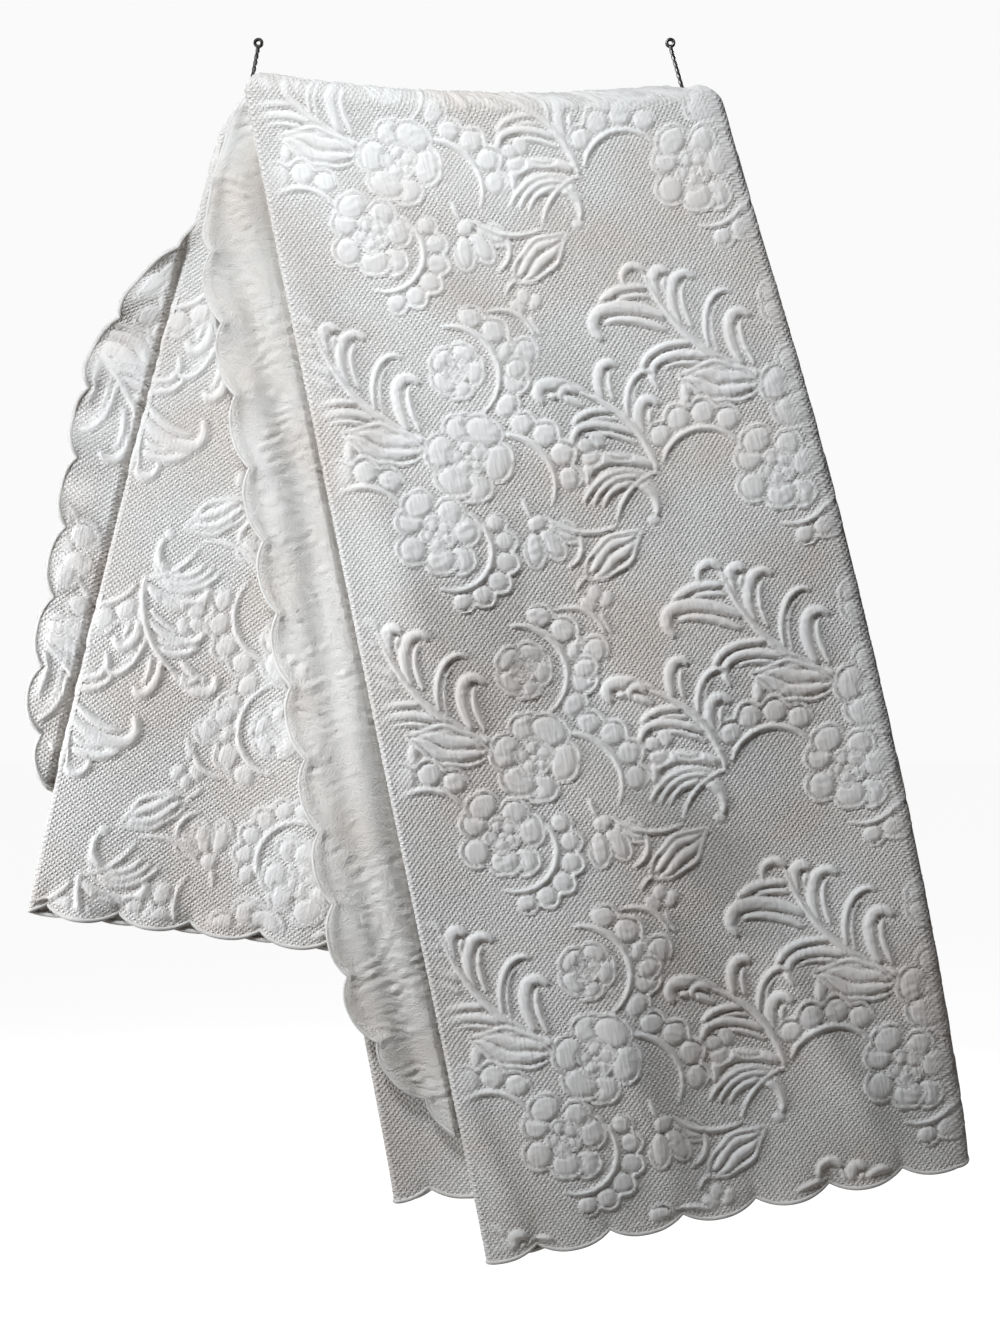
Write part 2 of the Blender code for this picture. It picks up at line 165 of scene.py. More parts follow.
def fold_line(n, y):
    """X of fold line n at distance y from the ridge, its share of the way to the hem, and the hem's Z."""
    runs = np.where((y > 0)[:, None], FRONT[n], BACK[n])
    length = np.where(y > 0, FRONT_LENGTH[n], CLOTH_LENGTH - FRONT_LENGTH[n])
    t = np.maximum((np.abs(y) - QUARTER_BEND) / (length - QUARTER_BEND), 0.0)
    run = mix(runs[:, TOP], runs[:, HEM_X], t) + runs[:, BOW] * 4 * t * (1 - t)
    fanned = np.maximum((np.abs(y) - runs[:, HOLD]) / runs[:, FAN], 0.0)
    return mix(RIDGE[n], run, ease(fanned ** FAN_LEAN)), t, runs[:, HEM_Z]


def swell(x, z, fall):
    """Slow waves of the hanging cloth."""
    waves = sum(out * np.sin(math.tau * (wide * x + tall * z) + phase) for wide, tall, phase, out in WAVES)
    return waves * ease((fall - WAVE_START) / WAVE_REACH)


def drape(u, v, w):
    """Where points of the flat cloth hang, as an array of X, Y and Z."""
    y = ridge_length(u) - v
    fall = np.maximum(np.abs(y) - QUARTER_BEND, 0.0)
    n, share, depth = section(u, w, 1 + LAYER_SPREAD * ease(fall / WAVE_REACH))
    left_x, left_t, left_z = fold_line(n, y)
    right_x, right_t, right_z = fold_line(n + 1, y)
    x = mix(left_x, right_x, share)
    shoulder = SHOULDER_LIFT * ease((x - ROD_HALF_LENGTH) / SHOULDER_RUN) * (1 - ease(fall / SHOULDER_FADE))
    side = np.where(y > 0, 1, -1)
    angle = y / BEND_RADIUS
    on_rod = np.stack([x, -depth * np.sin(angle), rod_z(x) + depth * np.cos(angle) + shoulder], 1)
    top = mix(rod_z(x), rod_z(mix(RIDGE[n], RIDGE[n + 1], share)), ease(fall / WAVE_START))
    z = top + mix(left_t * (left_z - top), right_t * (right_z - top), share)
    out = depth + SWING * ease(fall / WAVE_REACH) * side
    curl = MARGIN_CURL * np.maximum(1 - u / MARGIN_WIDTH, 0.0) ** 2 * ease(fall / WAVE_START)
    hanging = np.stack([x, -side * out - curl + swell(x, z, fall), z + shoulder], 1)
    return np.where((fall == 0)[:, None], on_rod, hanging)


def run_of_fold(n, side):
    """Depth below the rod and X down fold line n, in front (1) or behind (-1)."""
    y = side * np.linspace(QUARTER_BEND, LONGEST_RUN, RUN_STEPS)
    x, t, end = fold_line(np.full(len(y), n), y)
    return -mix(rod_z(RIDGE[n]), end, t), x


SHOW_RUN, LAYER_RUN = run_of_fold(SHOW_FOLD, 1), run_of_fold(LAYER_FOLD, -1)
print(f"the folds hang {FRONT_LENGTH.min():.2f} to {FRONT_LENGTH.max():.2f} m down in front")


# %% [markdown]
# The cloth has rounded corners and a scalloped edge. A grid stays a grid when its rim is pushed in, so
# each grid point is first moved to the rounded outline, and points near the rim then follow the lobes,
# whose phase comes from the place along the rim.

# %% The scalloped outline
PERIMETER = 2 * (CLOTH_WIDTH + CLOTH_LENGTH - 4 * CORNER_RADIUS) + math.tau * CORNER_RADIUS
LOBES = round(PERIMETER / SCALLOP_PITCH)
RIM_REACH = 0.05
RUFFLE = 0.0017
# how much the lobes differ, and how often that comes round on the way round the cloth
UNEVEN_LOBES = [(0.8, 7), (0.6, 23)]
PLAIN_EDGE, PLAIN_FADE = 0.17, 0.04
CREASE_WIDE, CREASE_REACH, CREASE_DEEP = 0.006, 0.045, 0.0018


def rounded(u, v):
    """Where points of the full rectangle lie on the round-cornered cut."""
    r = CORNER_RADIUS
    a = np.maximum(r - u, 0) - np.maximum(u - (CLOTH_WIDTH - r), 0)
    b = np.maximum(r - v, 0) - np.maximum(v - (CLOTH_LENGTH - r), 0)
    a, b = a / r, b / r
    return u + (a - a * np.sqrt(1 - b * b / 2)) * r, v + (b - b * np.sqrt(1 - a * a / 2)) * r


def rim_place(u, v):
    """Distance in from the rounded outline, place along it, and the inward direction."""
    r, wide, long = CORNER_RADIUS, CLOTH_WIDTH, CLOTH_LENGTH
    quarter = math.pi * r / 2
    cu, cv = np.clip(u, r, wide - r), np.clip(v, r, long - r)
    du, dv = u - cu, v - cv
    far = np.hypot(du, dv)
    corner = (du != 0) & (dv != 0)
    sides = np.stack([v, wide - u, long - v, u])
    side = sides.argmin(axis=0)
    starts = np.cumsum([0, wide - 2 * r + quarter, long - 2 * r + quarter, wide - 2 * r + quarter])
    along = np.stack([u - r, v - r, wide - r - u, long - r - v])
    place = starts[side] + np.take_along_axis(along, side[None], 0)[0]
    which = np.select([(du > 0) & (dv < 0), (du > 0) & (dv > 0), (du < 0) & (dv > 0)], [1, 2, 3], 0)
    corner_start = np.append(PERIMETER, starts[1:])[which] - quarter
    corner_turn = np.arctan2(dv, du) + np.array([math.pi, math.pi / 2, 0, -math.pi / 2])[which]
    place = np.where(corner, corner_start + corner_turn * r, place)
    depth = np.where(corner, r - far, sides.min(axis=0))
    inward_u = np.where(corner, -du / np.maximum(far, 1e-9), np.choose(side, [0, -1, 0, 1]))
    inward_v = np.where(corner, -dv / np.maximum(far, 1e-9), np.choose(side, [1, 0, -1, 0]))
    return depth, place, inward_u, inward_v


def scallop(place):
    """How far the edge is cut in from the lobes' tips here."""
    phase = place / PERIMETER * LOBES % 1
    return SCALLOP_DEPTH * np.abs(2 * phase - 1) ** SCALLOP_POWER


def ruffle(place, depth):
    """How far the rim leaves the surface: lobes turned out unevenly, creases in from the notches."""
    uneven = 1 + sum(share * np.sin(math.tau * turns * place / PERIMETER) for share, turns in UNEVEN_LOBES)
    phase = place / PERIMETER * LOBES % 1
    lobes = np.cos(math.tau * (phase - 0.5)) * np.clip(1 - depth / RIM_REACH, 0, 1) ** 2
    notch = np.minimum(phase, 1 - phase) * SCALLOP_PITCH / CREASE_WIDE
    creases = np.exp(-notch**2) * np.clip(1 - depth / CREASE_REACH, 0, 1)
    return RUFFLE * uneven * lobes - CREASE_DEEP * creases


def scalloped_here(u, v):
    """1 where the rim is scalloped, 0 where the margin's edge is straight beside the rod."""
    y = ridge_length(u) - v
    return 1 - (y > 0) * (u < CLOTH_WIDTH / 2) * (1 - ease((np.abs(y) - PLAIN_EDGE) / PLAIN_FADE))


def cut(u, v):
    """Where grid points lie on the scalloped cloth, their distance from the cut edge and their ruffle."""
    u, v = rounded(u, v)
    depth, place, inward_u, inward_v = rim_place(u, v)
    push = scallop(place) * np.clip(1 - depth / RIM_REACH, 0, 1) ** 2 * scalloped_here(u, v)
    return u + inward_u * push, v + inward_v * push, depth, ruffle(place, depth)


print(f"{PERIMETER:.2f} m of edge in {LOBES} scallops")


# %% [markdown]
# The raised ornament is ordinary scrollwork: rosettes, acanthus plumes, shells on C-scrolls, lobed leaves
# and buds. Each kind is a function, so that any motif can be moved, and is built from two shapes, in
# millimetres: a pad is a puffed oval, and a cord a puffed ridge. x runs right and y down on the embossed
# side as it hangs in front.

# %% The two shapes that every motif is made of
def pad(x, y, wide, high, turn=0.0):
    """A puffed oval, turned by degrees."""
    return ("pad", np.array([[x, y]], float), wide, high, turn)


def cord(half_width, points, taper=0.5):
    """A puffed ridge along a smooth path. taper is where along it the ridge is thickest."""
    return ("cord", np.array(points, float), half_width, taper, 0.0)


def arc(radius, start, end, x=0.0, y=0.0, squash=1.0, steps=7):
    """Points on a round or flattened arc. Degrees run clockwise from the right."""
    angle = np.radians(np.linspace(start, end, steps))
    return np.stack([x + radius * np.cos(angle), y + radius * squash * np.sin(angle)], 1)


def placed(shapes, x, y, turn=0.0):
    """The shapes of a motif turned and moved."""
    a = math.radians(turn)
    spin = np.array([[math.cos(a), math.sin(a)], [-math.sin(a), math.cos(a)]])
    return [(kind, path @ spin + (x, y), size, other, turn + own) for kind, path, size, other, own in shapes]


def around(reach, degrees):
    """X and Y of a place at this distance from the middle, in this direction."""
    a = np.radians(degrees)
    return reach * np.cos(a), reach * np.sin(a)


# %% [markdown]
# A petal is a pad with a cord round its outer edge. A blossom is a ring of petals, a shell scroll a row
# of pads under one lobed rim, and a plume a stem with hooked blades. Slow sines make sizes and turns a
# little uneven, because drawn ornament never repeats a petal exactly.

# %% The kinds of motif
RIM, PETAL_SWEEP, LEAF_LOBES = 2.6, 112, 2
NOTCHED_SWEEP, PETAL_NOTCH, NOTCH_WIDE = 106, 0.14, 0.36
HEART_PETALS, HEART_RIM, HEART_RADIUS = 5, 0.8 * RIM, 0.24
SCROLL, STEM, FINE_STEM, HOOK, BLADE_WIDE = 4.0, 3.4, 2.8, 5.2, 10.5


def petal(x, y, long, wide, turn):
    """A rimmed petal that points to turn."""
    rim = arc(long + RIM, -PETAL_SWEEP, PETAL_SWEEP, squash=(wide + RIM) / (long + RIM), steps=9)
    return placed([cord(RIM, rim), pad(0, 0, long, wide)], x, y, turn)


def notched_petal(x, y, long, wide, turn):
    """A broad petal that points to turn, with a rim that dips in at its tip."""
    way = np.radians(np.linspace(-NOTCHED_SWEEP, NOTCHED_SWEEP, 13))
    notch = 1 - PETAL_NOTCH * np.exp(-((way / NOTCH_WIDE) ** 2))
    rim = np.stack([(long + RIM) * np.cos(way) * notch, (wide + RIM) * np.sin(way)], 1)
    return placed([cord(RIM, rim), pad(0, 0, long * 0.94, wide)], x, y, turn)


def rosette(radius, petals, pointed=0.0):
    """A blossom seen face on. pointed lengthens every other petal."""
    shapes = []
    for k in range(petals):
        turn = 360 * k / petals + 10 * math.sin(2.1 * k)
        reach = radius * (0.67 + 0.12 * pointed * (k % 2) + 0.05 * math.sin(1.7 * k))
        wide = radius * math.pi / petals * (0.72 + 0.08 * math.cos(2.6 * k))
        long = radius * (0.32 + 0.03 * math.sin(3.1 * k))
        shapes += notched_petal(*around(reach, turn), long, wide, turn)
    for k in range(HEART_PETALS):
        turn = 360 * (k + 0.5) / HEART_PETALS + 8 * math.cos(1.9 * k)
        own = radius * (0.145 + 0.02 * math.sin(2.3 * k))
        lobe = [cord(HEART_RIM, arc(own + HEART_RIM, -100, 100)), pad(0, 0, own, own * 1.05)]
        shapes += placed(lobe, *around(radius * HEART_RADIUS, turn), turn)
    return shapes + [pad(radius * 0.02, radius * 0.02, radius * 0.10, radius * 0.08)]


def shell_size(size, share):
    """Half a shell's length at this share of a scroll: the middle ones are larger."""
    return size * (0.82 + 0.3 * np.sin(math.pi * share))


def shell_scroll(radius, start, end, shells, size=11.5):
    """A C-scroll with a row of touching shells on its outer side and a lobed rim."""
    shapes = [cord(SCROLL, arc(radius, start - 16, end + 18, steps=9), taper=0.4)]
    step = math.radians(end - start) / shells
    for k in range(shells):
        share = (k + 0.5) / shells
        turn = mix(start, end, share)
        own = shell_size(size, share)
        reach = radius + SCROLL + own
        shapes.append(pad(*around(reach, turn), own, reach * step * 0.46, turn))
    share = np.linspace(0, 1, 8 * shells + 1)
    lobed = shell_size(size, share) * (1.35 + 0.75 * np.abs(np.sin(math.pi * share * shells)))
    rim = around(radius + SCROLL + RIM + lobed, mix(start, end, share))
    return shapes + [cord(RIM, np.stack(rim, 1))]


# shares of a blade's length along and out: it leaves the stem low, bows out and hooks back at its tip
BLADE_WAY = np.array([
    (0.00, 0.00), (0.20, 0.10), (0.44, 0.27), (0.66, 0.52), (0.76, 0.80), (0.68, 1.02), (0.50, 1.08),
])


def blade(root_x, root_y, reach, side, lean, wide):
    """One hooked blade of acanthus: a broad ridge with a thinner one in its hollow side."""
    way = BLADE_WAY * (reach * lean, reach * side) + (root_x, root_y)
    along = np.gradient(way, axis=0)
    across = np.stack([-along[:, 1], along[:, 0]], 1) / np.hypot(*along.T)[:, None]
    inner = (way + across * side * wide * 1.25)[:-2]
    return [cord(wide * 0.42, inner, taper=0.45), cord(wide * 0.72, way, taper=0.55)]


def plume(length, bend, blades, spread=0.35):
    """An acanthus plume that grows to the right, with longer blades on one side."""
    t = np.linspace(0, 1, 7)
    stem = np.stack([length * t, bend * 4 * t * (1 - t)], 1)
    shapes = []
    for k in reversed(range(blades)):
        share = 0.06 + 0.82 * k / (blades - 1)
        side = 1 if k % 2 else -1
        reach = length * spread * (0.66 + 0.42 * math.sin(math.pi * min(share + 0.15, 1)))
        reach *= (1.0 if side < 0 else 0.74) * (1 + 0.20 * math.sin(2.4 * k + 1))
        lean = 1.05 + 0.34 * math.sin(1.3 * k)
        root_y = bend * 4 * share * (1 - share)
        shapes += blade(length * share, root_y, reach, side, lean, BLADE_WIDE * (0.8 + 0.25 * math.cos(k)))
    loop = arc(length * 0.07, 105, -75, x=length * 0.99, y=-length * 0.07)
    return shapes + [cord(4.4, stem, taper=0.3), cord(5.4, loop, taper=0.4)]


def leaf(length, wide):
    """A leaf that points right: two puffed halves along a wavy midrib, and a cord down each edge."""
    t = np.linspace(0.02, 1, 5 * LEAF_LOBES + 1)
    belly = wide * np.sin(math.pi * t ** 0.85) * (1 + 0.10 * np.sin(math.tau * LEAF_LOBES * t))
    wavy = wide * 0.15 * np.sin(3 * math.pi * t)
    shapes = []
    for side in (-1, 1):
        half = np.stack([length * t, wavy + side * belly * 0.40], 1)
        shapes.append(cord(wide * 0.36, half[1:-1], taper=0.45))
    for side in (-1, 1):
        shapes.append(cord(3.2, np.stack([length * t, side * belly], 1)))
    return shapes + [cord(2.6, [(-length * 0.22, length * 0.05), (-length * 0.08, 0), (length * 0.04, 0)])]


def bud(size):
    """Three small puffs on the end of a short stem, pointing right."""
    shapes = [cord(FINE_STEM, [(-size * 1.6, size * 0.3), (-size * 0.7, 0), (0, 0)])]
    shapes += [pad(size * 0.8, side * size * 0.62, size * 0.62, size * 0.48, side * 35) for side in (-1, 1)]
    return shapes + [pad(size * 1.4, 0, size * 0.55, size * 0.46)]


def bell(length):
    """A bell flower that opens to the right."""
    shapes = [cord(FINE_STEM, [(-length * 0.3, -4), (-length * 0.1, 0), (length * 0.1, 0)])]
    for turn in (-30, 0, 30):
        shapes += petal(*around(length * 0.55, turn), length * 0.26, length * 0.13, turn)
    return shapes + [pad(length * 0.16, 0, length * 0.13, length * 0.15)]


def curl(radius):
    """An acanthus end: three nested hooks, the longest with a knob on its tip."""
    shapes = []
    for offset, sweep in ((0.62, 105), (0.31, 145), (0.0, 200)):
        share = np.linspace(0, 1, 9)
        hook = around(radius * (1 + offset) * (1 - 0.35 * share), sweep * share)
        shapes.append(cord(HOOK, np.stack(hook, 1)))
    tip = shapes[-1][1][-1]
    return shapes + [pad(*tip, 7.0, 5.8)]


def stem(x, y, to_x, to_y, bend):
    """A thin cord between two motifs, bowed sideways by bend."""
    t = np.linspace(0, 1, 6)[:, None]
    start, end = np.array([x, y], float), np.array([to_x, to_y], float)
    along = (end - start) / np.hypot(*(end - start))
    bowed = bend * 4 * t * (1 - t) * np.array([-along[1], along[0]])
    return [cord(STEM, start + (end - start) * t + bowed)]


# %% [markdown]
# One repeat of the weave is 370 mm across and 334 mm along. The layout sets each motif's place, size and
# turn, and the motif's own rules do the rest.

# %% Layout of the repeat
REPEAT_WIDE, REPEAT_HIGH = 370, 334
REPEAT_START_U, REPEAT_START_V = 2.3333, 0.7468

LAYOUT = [
    # x, y, turn, motif
    (134, 198, -126, plume(188, -26, 9)),
    (356, 270, -122, plume(128, 18, 7, spread=0.44)),
    (116, 204, 202, leaf(92, 21)),
    (254, 366, -30, leaf(82, 18)),
    (160, 122, 0, shell_scroll(54, -70, 52, 5)),
    (190, 250, 0, shell_scroll(56, -72, 16, 4)),
    (36, 276, 0, shell_scroll(46, -142, -40, 4)),
    (120, 312, 0, shell_scroll(44, -34, 100, 6, size=10)),
    (168, 118, 10, rosette(29, 5)),
    (160, 214, 20, rosette(47, 6)),
    (110, 292, 0, rosette(44, 7, pointed=1.0)),
    (212, 288, 66, bell(68)),
    (322, 304, 200, curl(34)),
    (262, 72, -95, bud(16)),
    (306, 236, -150, bud(17)),
    (246, 112, -60, petal(0, 0, 15, 12, 0)),
    (232, 128, -20, petal(0, 0, 12, 10, 0)),
    (0, 0, 0, stem(226, 292, 300, 316, 12)),
    (0, 0, 0, stem(300, 312, 356, 266, -10)),
    (0, 0, 0, stem(238, 352, 258, 318, 8)),
    (0, 0, 0, stem(214, 60, 262, 96, -14)),
]
shapes = [shape for x, y, turn, motif in LAYOUT for shape in placed(motif, x, y, turn)]
print(f"repeat of {len(LAYOUT)} motifs, {len(shapes)} pads and cords")

# %% [markdown]
# The shapes become a height map of one repeat, laid over each other in turn. Inside its outline a shape
# is a round puff, and just outside it presses what was there into a stitched crevice, which makes
# embossed double cloth read as stuffed, not as carved.

# %% Height map of the repeat
# samples a millimetre, then widths in millimetres, and heights in metres
SAMPLES, WINDOW_MARGIN = 2, 5
CREVICE, FULL_PUFF = 2.4, 9
PAD_HEIGHT, CORD_HEIGHT, CREVICE_DEPTH, MOTIF_FROM = 0.0026, 0.0036, 0.0021, 0.0004
CORD_END, CORD_FILL, CORD_LEAST = 0.24, 0.6, 0.55


def smooth_path(points, steps=5):
    """Points along the smooth curve through the given ones."""
    p = np.concatenate([points[:1], points, points[-1:]])
    t = np.linspace(0, 1, steps, endpoint=False)[:, None]
    spans = [
        0.5 * (2 * b + (c - a) * t + (2 * a - 5 * b + 4 * c - d) * t**2 + (3 * b - a - 3 * c + d) * t**3)
        for a, b, c, d in zip(p, p[1:], p[2:], p[3:])
    ]
    return np.concatenate([*spans, p[-1:]])


def window(low, high):
    """Wrapped rows and columns of the map round a box in millimetres, and their places."""
    x, y = (
        np.arange(int((a - WINDOW_MARGIN) * SAMPLES), int((b + WINDOW_MARGIN) * SAMPLES))
        for a, b in zip(low, high)
    )
    index = np.ix_(y % (REPEAT_HIGH * SAMPLES), x % (REPEAT_WIDE * SAMPLES))
    return index, np.meshgrid(x / SAMPLES, y / SAMPLES)


def pad_puff(centre, wide, high, turn):
    """Map index, distance outside the outline and height of a puffed oval."""
    reach = max(wide, high)
    index, (gx, gy) = window(centre - reach, centre + reach)
    a = math.radians(turn)
    px = (gx - centre[0]) * math.cos(a) + (gy - centre[1]) * math.sin(a)
    py = (gy - centre[1]) * math.cos(a) - (gx - centre[0]) * math.sin(a)
    q = np.hypot(px / wide, py / high)
    puff = PAD_HEIGHT * np.sqrt(np.maximum(1 - q**4, 0)) * min(1, min(wide, high) / FULL_PUFF)
    return index, (q - 1) * min(wide, high), puff


def cord_puff(points, half_width, taper):
    """Map index, distance outside the outline and height of a ridge, thinner at its ends."""
    lean = math.log(0.5) / math.log(taper)
    path = smooth_path(points)
    index, (gx, gy) = window(path.min(axis=0) - half_width, path.max(axis=0) + half_width)
    edge, width = np.full(gx.shape, 1e9), np.ones(gx.shape)
    for step, (a, b) in enumerate(zip(path, path[1:])):
        d = b - a
        t = np.clip(((gx - a[0]) * d[0] + (gy - a[1]) * d[1]) / max(d @ d, 1e-9), 0, 1)
        thickest = np.sin(math.pi * ((step + t) / (len(path) - 1)) ** lean).clip(0)
        own = half_width * mix(CORD_END, 1.0, thickest**CORD_FILL)
        off = np.hypot(gx - a[0] - t * d[0], gy - a[1] - t * d[1]) - own
        width = np.where(off < edge, own, width)
        edge = np.minimum(edge, off)
    q = np.clip(1 + edge / width, 0, 1)
    return index, edge, CORD_HEIGHT * np.sqrt(1 - q**2) * np.minimum(1, CORD_LEAST + width / FULL_PUFF)


def blurred(chart):
    """The map with each sample averaged a little with its neighbours."""
    for axis in (0, 1):
        chart = (np.roll(chart, 1, axis) + 2 * chart + np.roll(chart, -1, axis)) / 4
    return chart


relief_map = np.zeros((REPEAT_HIGH * SAMPLES, REPEAT_WIDE * SAMPLES))
for kind, points, size, other, turn in shapes:
    made = pad_puff(points[0], size, other, turn) if kind == "pad" else cord_puff(points, size, other)
    index, edge, puff = made
    press = np.clip(1 - edge / CREVICE, 0, 1) ** 2
    relief_map[index] = np.where(edge < 0, puff, relief_map[index] * (1 - press) - CREVICE_DEPTH * press)
motif_map = blurred(blurred((relief_map > MOTIF_FROM).astype(float)))
relief_map = blurred(blurred(blurred(relief_map)))
print(f"relief {relief_map.min() * 1000:.2f} to {relief_map.max() * 1000:.2f} mm, "
      f"{motif_map.mean():.0%} of the ground raised")


def on_map(chart, u, v):
    """The map's value at points of the cloth."""
    x = (REPEAT_START_U - u) * 1000 * SAMPLES
    y = (REPEAT_START_V - v) * 1000 * SAMPLES
    x0, y0 = np.floor(x).astype(int), np.floor(y).astype(int)
    fx, fy = x - x0, y - y0
    high, wide = chart.shape
    upper, lower = (
        mix(chart[row % high, x0 % wide], chart[row % high, (x0 + 1) % wide], fx) for row in (y0, y0 + 1)
    )
    return mix(upper, lower, fy)


# %% [markdown]
# How far motifs stand proud depends on which side of a panel can be seen. On the show panel they are full
# height, and where the margin turns its wrong side out the stuffing only bulges a little. Layers under
# others are flat or nearly so, because relief there would cut through the next one.

# %% Height of the embossed side
CLOTH_THICKNESS = 0.0024
FLAT_RIM = 0.007
ON_ROD, ROD_FADE = 0.45, 0.06
ROLL_HIGH, ROLL_IN, ROLL_WIDE = 0.0020, 0.006, 0.006
FUZZ = 0.00016
PUCKER_SHOW, PUCKER_WRONG = 0.00034, 0.00100
FADE = 0.05
UNDER_LAYERS, COVER_FROM, COVER_FADE = 0.3, 0.002, 0.010

# place across the cloth, then the share of the motifs' height there
RELIEF_FRONT = np.array([
    (0, -0.25), (0.56, -0.25), (0.61, 0), (1.19, 0), (1.22, 0.9),
    (1.75, 0.9), (1.785, 0), (1.8, 0.15), (1.83, 1), (2.295, 1), (2.322, 0.08), (2.345, 0),
    (2.6, 0),
])
RELIEF_BACK = np.array([
    (0, 0.9), (0.3, 0.9), (0.36, 0), (1.18, 0), (1.2, 0.9),
    (1.7, 0.9), (1.78, 0.3), (1.8, 1), (2.33, 1), (2.345, 0), (2.6, 0),
])
SIDE_FRONT = np.array([(0, -1), (0.52, -1), (0.6, 1), (2.6, 1)])


# Puckers: spacing, how far they wander, over what width, bent how much over what height, and strength.
# Lumps: size across, bend over what height, size down, bend over what width.
PUCKERS = [(0.0083, 2.3, 0.033, 5.0, 0.019, 1.0), (0.0127, 2.0, 0.047, 4.0, 0.031, 0.8)]
PUCKER_PATCHES = (0.013, 3.0, 0.029, 0.017, 2.0, 0.021)
FINE_LUMPS = (0.0021, 2.2, 0.0058, 0.0024, 2.6, 0.0069)
BROAD_LUMPS, BROAD_SHARE = (0.0052, 1.9, 0.0131, 0.0063, 2.1, 0.0147), 1.4


def lumps(u, v, wide, bend_u, over_v, tall, bend_v, over_u):
    """Uneven lumps: waves across and down the cloth that bend each other."""
    return np.sin(u / wide + bend_u * np.sin(v / over_v)) * np.sin(v / tall + bend_v * np.sin(u / over_u))


def pucker(u, v):
    """Uneven creases across the cloth, about 8 mm apart, where the stuffing draws the weave in."""
    creases = 0.0
    for pitch, wander, wide, bend, tall, strength in PUCKERS:
        wandered = wander * np.sin(math.tau * u / wide + bend * np.sin(v / tall))
        creases = creases + strength * np.sin(math.tau * v / pitch + wandered)
    return creases * (0.5 + 0.5 * lumps(u, v, *PUCKER_PATCHES))


def felted(u, v):
    """Small uneven lumps of the wrong side, a centimetre and less across."""
    return lumps(u, v, *FINE_LUMPS) + BROAD_SHARE * lumps(u, v, *BROAD_LUMPS)


def bare(u, v):
    """1 where nothing hangs over the back margin, and less under the other layers."""
    points = drape(u, v, np.zeros(u.shape))
    beside = np.interp(-points[:, 2], *LAYER_RUN) - points[:, 0]
    return np.where(u < AT[1], mix(UNDER_LAYERS, 1.0, ease((beside - COVER_FROM) / COVER_FADE)), 1.0)


def height(u, v, depth):
    """How far the surface stands from the cloth's middle, and how much of it is a raised motif."""
    y = ridge_length(u) - v
    front = ease((y + FADE) / (2 * FADE))
    side = mix(1.0, np.interp(u, *SIDE_FRONT.T), front)
    share = mix(np.interp(u, *RELIEF_BACK.T), np.interp(u, *RELIEF_FRONT.T), front)
    outermost = LAYERS[panel_of(u)] == LAYERS.max()
    share = share * np.where(outermost, 1.0, ease((np.abs(y) - FADE) / FADE))
    inside = ease((depth - FLAT_RIM) / FLAT_RIM)
    share = share * inside * mix(ON_ROD, 1.0, ease(np.abs(y) / ROD_FADE))
    share = share * mix(bare(u, v), 1.0, front)
    motif = on_map(motif_map, u, v) * np.abs(share)
    wrong = (1 - side) / 2
    drawn = PUCKER_SHOW * motif + PUCKER_WRONG * wrong
    raised = share * on_map(relief_map, u, v) + drawn * pucker(u, v) * inside
    roll = ROLL_HIGH * np.exp(-(((depth - ROLL_IN) / ROLL_WIDE) ** 2))
    return side * CLOTH_THICKNESS / 2 + raised - wrong * (roll + FUZZ * felted(u, v)), motif


# %% [markdown]
# The front layers share a few soft folds that the slow waves do not give: slanting down from the rod's
# left end, where the cloth is drawn together, and up from the hem at the right.

# %% Soft folds of the front layers
FOLD_LEAD, FOLD_FADE = 0.15, 0.4

# X and Z of both ends, half width, and how far towards the viewer the fold stands
FOLDS = [
    (-0.2, -0.11, 0.19, -0.52, 0.036, 0.011),
    (-0.12, -0.09, 0.33, -0.4, 0.034, 0.008),
    (-0.215, -0.2, -0.03, -0.7, 0.026, 0.006),
    (0.02, -0.6, 0.36, -0.96, 0.045, -0.01),
    (0.12, -0.78, 0.42, -1.09, 0.034, 0.007),
    (0.33, -1.01, 0.45, -1.19, 0.022, 0.0085),
    (0.15, -1.06, 0.24, -1.27, 0.024, 0.0065),
    (-0.02, -1.12, 0.06, -1.3, 0.018, 0.006),
]


def soft_folds(x, z):
    """How far the soft folds carry the front layers towards the viewer."""
    carried = np.zeros(x.shape)
    for x0, z0, x1, z1, wide, out in FOLDS:
        along_x, along_z = x1 - x0, z1 - z0
        length = math.hypot(along_x, along_z)
        along = ((x - x0) * along_x + (z - z0) * along_z) / length**2
        across = ((x - x0) * along_z - (z - z0) * along_x) / length
        reach = ease((along + FOLD_LEAD) / FOLD_FADE) * ease((1 + FOLD_LEAD - along) / FOLD_FADE)
        carried += out * np.exp(-((across / wide) ** 2)) * reach
    return carried


print(f"{len(FOLDS)} soft folds")


# %% [markdown]
# Some places are packed closer than in the CAD cloth. Beside the show panel's fold the margin swells
# until only a narrow dark slot is left, and behind, the flap swells beside the fold over it. At the rod's
# left end the margin's free edge is tucked in, and the back edge's first lobes curl forward.

# %% The swollen margins, the tucked corner and the curled lobes
SLOT, SWELL_UP, SWELL_WIDE = 0.0024, 0.0035, 0.065
SWELL_RISE, SWELL_START = 0.0085, 0.05
RIPPLE, RIPPLE_PITCH, RIPPLE_BEND, RIPPLE_LONG = 0.35, 0.055, 1.1, 0.11
EDGE_SLOT, EDGE_UP, EDGE_WIDE = 0.0040, 0.0040, 0.060
EDGE_RISE, EDGE_START = 0.0095, 0.10
TUCK, TUCK_FROM, TUCK_IN, TUCK_TO, TUCK_OUT = 0.008, 0.02, 0.05, 0.19, 0.07
TUCK_REACH, TUCK_FOLD, TUCK_FOLD_REACH = 0.20, 0.002, 0.15
LOBE_CURL, LOBE_REACH, LOBE_PHASE = 0.021, 0.060, 1.2
LOBE_FROM, LOBE_IN, LOBE_LESS, LESS_FROM, LESS_IN = 0.13, 0.06, 0.6, 0.36, 0.3


